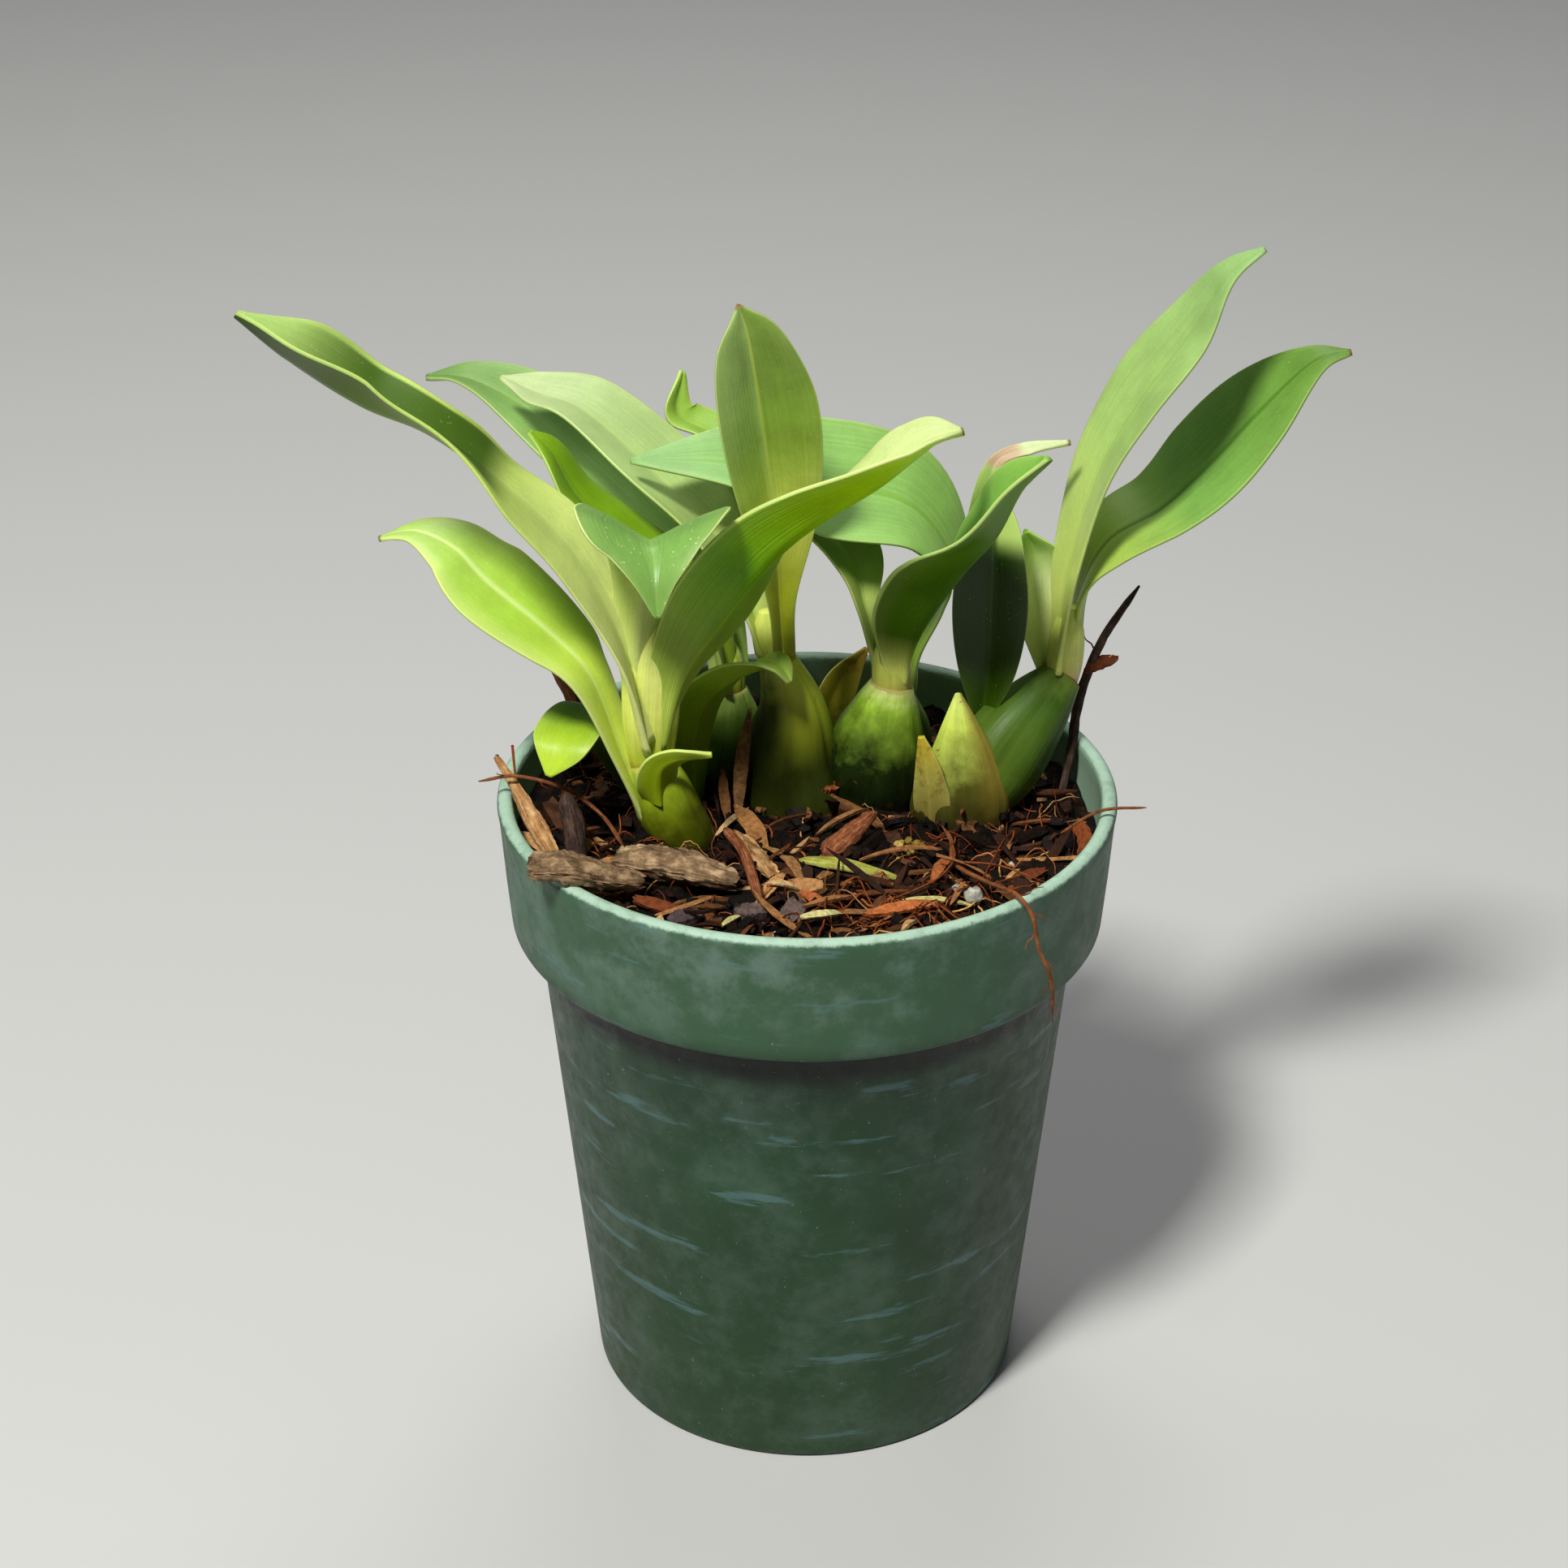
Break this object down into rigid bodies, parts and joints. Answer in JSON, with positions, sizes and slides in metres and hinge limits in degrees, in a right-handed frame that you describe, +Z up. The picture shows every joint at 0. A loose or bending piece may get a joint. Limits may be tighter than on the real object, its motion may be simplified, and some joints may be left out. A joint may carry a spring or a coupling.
{
  "type": "potted orchid plant",
  "caption": "Small potted orchid: a round tapered nursery pot with a stepped rim band, full of bark mix, holding ribbed pseudobulbs with folded, arching leaves.",
  "frame": {"origin": "centre of the flat underside of the pot, on the surface the pot stands on", "axes": "+Z up along the pot axis; the front, which the picture was taken from, faces -Y; +X to the right seen from the front"},
  "size_m": [0.1304, 0.076, 0.1479],
  "materials": {
    "pot_plastic": "worn dark green moulded plastic with pale scuffs and a whitish lip",
    "potting_mix": "dark moist bark mix with reddish fibres",
    "leaf_green": "living leaf, waxy, with fine lengthwise veins",
    "leaf_pale": "paler young leaf, waxy, with fine lengthwise veins",
    "bulb": "smooth ridged pseudobulb, satin",
    "old_leaf_sheath": "thin yellowing sheath, satin",
    "bark": "weathered grey-brown bark",
    "dark_twig": "dark dead stem",
    "straw": "pale dry straw",
    "dry_fibre": "dry reddish-brown fibre"
  },
  "bodies": {
    "root": {"bulb_a": "bulb", "bulb_b": "bulb", "bulb_c": "bulb", "bulb_d": "bulb", "sheath_e": "old_leaf_sheath", "bulb_e": "bulb", "bulb_f": "bulb", "leaf_a1": "leaf_pale", "leaf_a2": "leaf_pale", "leaf_a3": "leaf_pale", "leaf_a4": "leaf_green", "sheath_a": "leaf_pale", "leaf_b1": "leaf_green", "leaf_b2": "leaf_pale", "leaf_b3": "leaf_green", "leaf_c1": "leaf_green", "leaf_c2": "leaf_green", "leaf_d1": "leaf_pale", "leaf_d2": "leaf_green", "leaf_d3": "leaf_pale", "leaf_d4": "leaf_green", "leaf_e1": "leaf_green", "leaf_f1": "leaf_green", "leaf_f2": "leaf_pale", "leaf_g1": "leaf_pale", "sheath_c": "old_leaf_sheath", "old_sheath": "old_leaf_sheath", "bark_slab_left": "bark", "bark_slab_front": "bark", "stick_dark": "dark_twig", "stick_back": "dry_fibre", "twig_right": "dark_twig", "straw_front": "straw", "chip_red": "dry_fibre", "chip_tan": "bark", "stick_red": "dry_fibre", "splinter_left": "straw", "root_left": "dry_fibre", "root_right": "dry_fibre", "fibre_right": "dry_fibre", "pot": "pot_plastic", "potting_mix": "potting_mix"}
  },
  "joints": []
}
